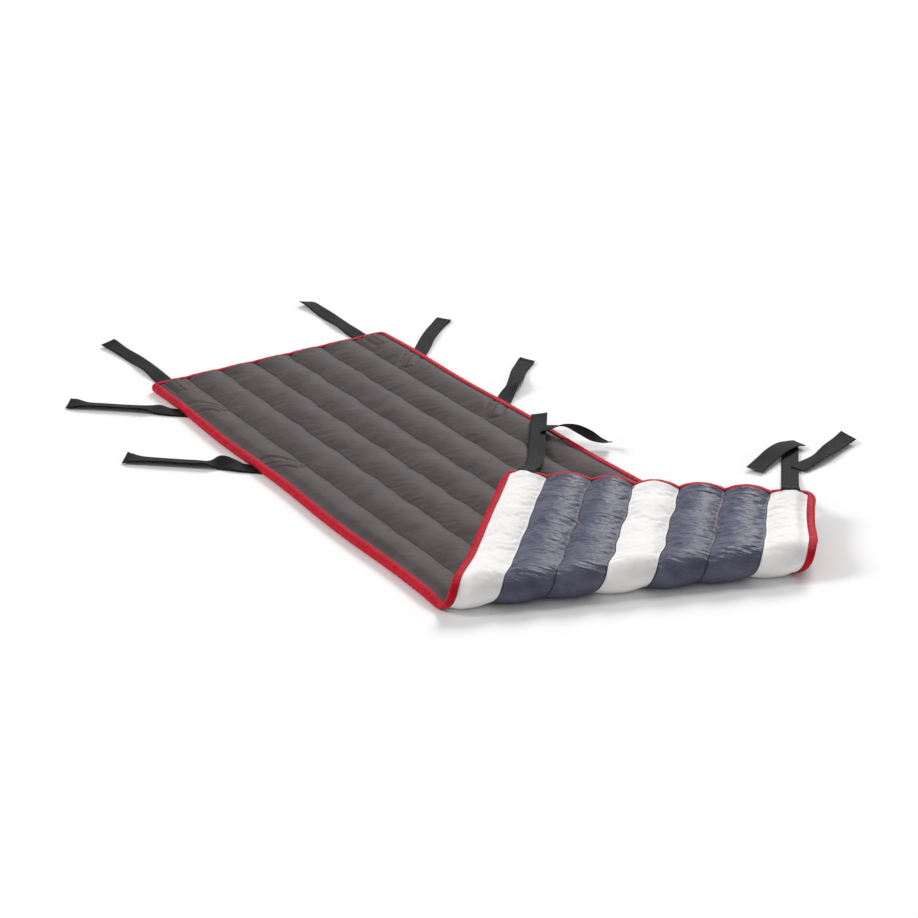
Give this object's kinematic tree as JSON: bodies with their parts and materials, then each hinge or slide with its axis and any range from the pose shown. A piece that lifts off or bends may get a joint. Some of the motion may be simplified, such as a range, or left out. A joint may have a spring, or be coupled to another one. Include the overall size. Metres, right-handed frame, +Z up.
{
  "type": "rescue stretcher",
  "caption": "Soft rescue stretcher: a quilted padded carry mat with bound edges and webbing ties, lying open with its foot end folded back over.",
  "frame": {"origin": "on the floor under the mat, on its width's centre line, 0.8 m from the head end", "axes": "+Y along the mat towards its head end, +X across it to its right edge, +Z up"},
  "size_m": [1.5456, 2.1524, 0.0745],
  "materials": {
    "grey_lining": "matt woven lining",
    "white_shell": "coated woven shell",
    "navy_shell": "satin coated woven shell",
    "wadding": "soft fibre fill",
    "red_binding": "ribbed binding tape",
    "thread": "spun thread",
    "black_webbing": "woven webbing",
    "quilted_fold": "quilted shell and fill"
  },
  "bodies": {
    "mat": {"main_binding_end": "red_binding", "main_binding_left": "red_binding", "main_binding_right": "red_binding", "main_inner_cover": "grey_lining", "main_navy_left": "navy_shell", "main_navy_right": "navy_shell", "main_quilting": "thread", "main_tie_tabs": "black_webbing", "main_wadding": "wadding", "main_white_centre": "white_shell", "main_white_left": "white_shell", "main_white_right": "white_shell"},
    "fold_strip_1": {"fold_strip_1": "quilted_fold", "fold_binding_1": "red_binding"},
    "fold_strip_2": {"fold_strip_2": "quilted_fold", "fold_binding_2": "red_binding"},
    "fold_strip_3": {"fold_strip_3": "quilted_fold", "fold_binding_3": "red_binding"},
    "flap": {"flap_binding_end": "red_binding", "flap_binding_left": "red_binding", "flap_binding_right": "red_binding", "flap_inner_cover": "grey_lining", "flap_navy_left": "navy_shell", "flap_navy_right": "navy_shell", "flap_quilting": "thread", "flap_tie_tabs": "black_webbing", "flap_wadding": "wadding", "flap_white_centre": "white_shell", "flap_white_left": "white_shell", "flap_white_right": "white_shell"},
    "tie_head_left": {"tie_head_left_lower": "black_webbing", "tie_head_left_upper": "black_webbing"},
    "tie_head_right": {"tie_head_right_lower": "black_webbing", "tie_head_right_upper": "black_webbing"},
    "tie_shoulder_left": {"tie_shoulder_left_lower": "black_webbing", "tie_shoulder_left_upper": "black_webbing"},
    "tie_shoulder_right": {"tie_shoulder_right_lower": "black_webbing", "tie_shoulder_right_upper": "black_webbing"},
    "tie_hip_left": {"tie_hip_left_lower": "black_webbing", "tie_hip_left_upper": "black_webbing"},
    "tie_hip_right": {"tie_hip_right_lower": "black_webbing", "tie_hip_right_upper": "black_webbing"},
    "tie_foot_left": {"tie_foot_left": "black_webbing"},
    "tie_foot_left_tail": {"tie_foot_left_tail": "black_webbing"},
    "tie_foot_right": {"tie_foot_right": "black_webbing"},
    "tie_foot_right_folded_tail": {"tie_foot_right_folded_tail": "black_webbing"},
    "tie_foot_right_tail": {"tie_foot_right_tail": "black_webbing"}
  },
  "joints": [
    {"name": "fold_crease_1", "type": "hinge", "parent": "mat", "child": "fold_strip_1", "pos_m": [-0.35, -0.651, 0], "axis": [0.9285, -0.3714, 0], "range_deg": [0, 45.38]},
    {"name": "fold_crease_2", "type": "hinge", "parent": "fold_strip_1", "child": "fold_strip_2", "pos_m": [-0.35809, -0.67122, 0.02206], "axis": [0.9285, -0.3714, 0], "range_deg": [0, 45.38]},
    {"name": "fold_crease_3", "type": "hinge", "parent": "fold_strip_2", "child": "fold_strip_3", "pos_m": [-0.35794, -0.67084, 0.05306], "axis": [0.9285, -0.3714, 0], "range_deg": [0, 45.38]},
    {"name": "fold_crease_4", "type": "hinge", "parent": "fold_strip_3", "child": "flap", "pos_m": [-0.34964, -0.65009, 0.07455], "axis": [0.9285, -0.3714, 0], "range_deg": [0, 45.38]},
    {"name": "tie_head_left_lift", "type": "hinge", "parent": "mat", "child": "tie_head_left", "pos_m": [-0.295, 0.808, 0.0053], "axis": [1, 0, 0], "range_deg": [0, 90]},
    {"name": "tie_head_right_lift", "type": "hinge", "parent": "mat", "child": "tie_head_right", "pos_m": [0.295, 0.808, 0.0053], "axis": [1, 0, 0], "range_deg": [0, 90]},
    {"name": "tie_shoulder_left_lift", "type": "hinge", "parent": "mat", "child": "tie_shoulder_left", "pos_m": [-0.37214, 0.63714, 0.0053], "axis": [0.7071, 0.7071, 0], "range_deg": [0, 90]},
    {"name": "tie_shoulder_right_lift", "type": "hinge", "parent": "mat", "child": "tie_shoulder_right", "pos_m": [0.37214, 0.63714, 0.0053], "axis": [0.7071, -0.7071, 0], "range_deg": [0, 90]},
    {"name": "tie_hip_left_lift", "type": "hinge", "parent": "mat", "child": "tie_hip_left", "pos_m": [-0.37214, 0.21714, 0.0053], "axis": [0.7071, 0.7071, 0], "range_deg": [0, 90]},
    {"name": "tie_hip_right_lift", "type": "hinge", "parent": "mat", "child": "tie_hip_right", "pos_m": [0.37214, 0.21714, 0.0053], "axis": [0.7071, -0.7071, 0], "range_deg": [0, 90]},
    {"name": "tie_foot_left_lift", "type": "hinge", "parent": "flap", "child": "tie_foot_left", "pos_m": [0.10864, -0.2989, 0.05824], "axis": [0.7241, -0.6897, 0], "range_deg": [0, 90]},
    {"name": "tie_foot_left_tail_lift", "type": "hinge", "parent": "tie_foot_left", "child": "tie_foot_left_tail", "pos_m": [0.33033, -0.09575, 0.0334], "axis": [-0.6897, -0.7241, 0], "range_deg": [0, 90]},
    {"name": "tie_foot_right_lift", "type": "hinge", "parent": "flap", "child": "tie_foot_right", "pos_m": [0.53591, -0.70573, 0.06398], "axis": [0.7241, -0.6897, 0], "range_deg": [0, 90]},
    {"name": "tie_foot_right_folded_tail_lift", "type": "hinge", "parent": "tie_foot_right", "child": "tie_foot_right_folded_tail", "pos_m": [0.80491, -0.42334, 0.00275], "axis": [-0.4831, 0.8755, 0], "range_deg": [0, 170]},
    {"name": "tie_foot_right_tail_lift", "type": "hinge", "parent": "tie_foot_right", "child": "tie_foot_right_tail", "pos_m": [0.73553, -0.52575, 0.0027], "axis": [-0.6897, -0.7241, 0], "range_deg": [0, 90]}
  ],
  "couplings": [
    {"joint": "fold_crease_2", "follows": "fold_crease_1", "ratio": 1},
    {"joint": "fold_crease_3", "follows": "fold_crease_1", "ratio": 1},
    {"joint": "fold_crease_4", "follows": "fold_crease_1", "ratio": 1}
  ]
}
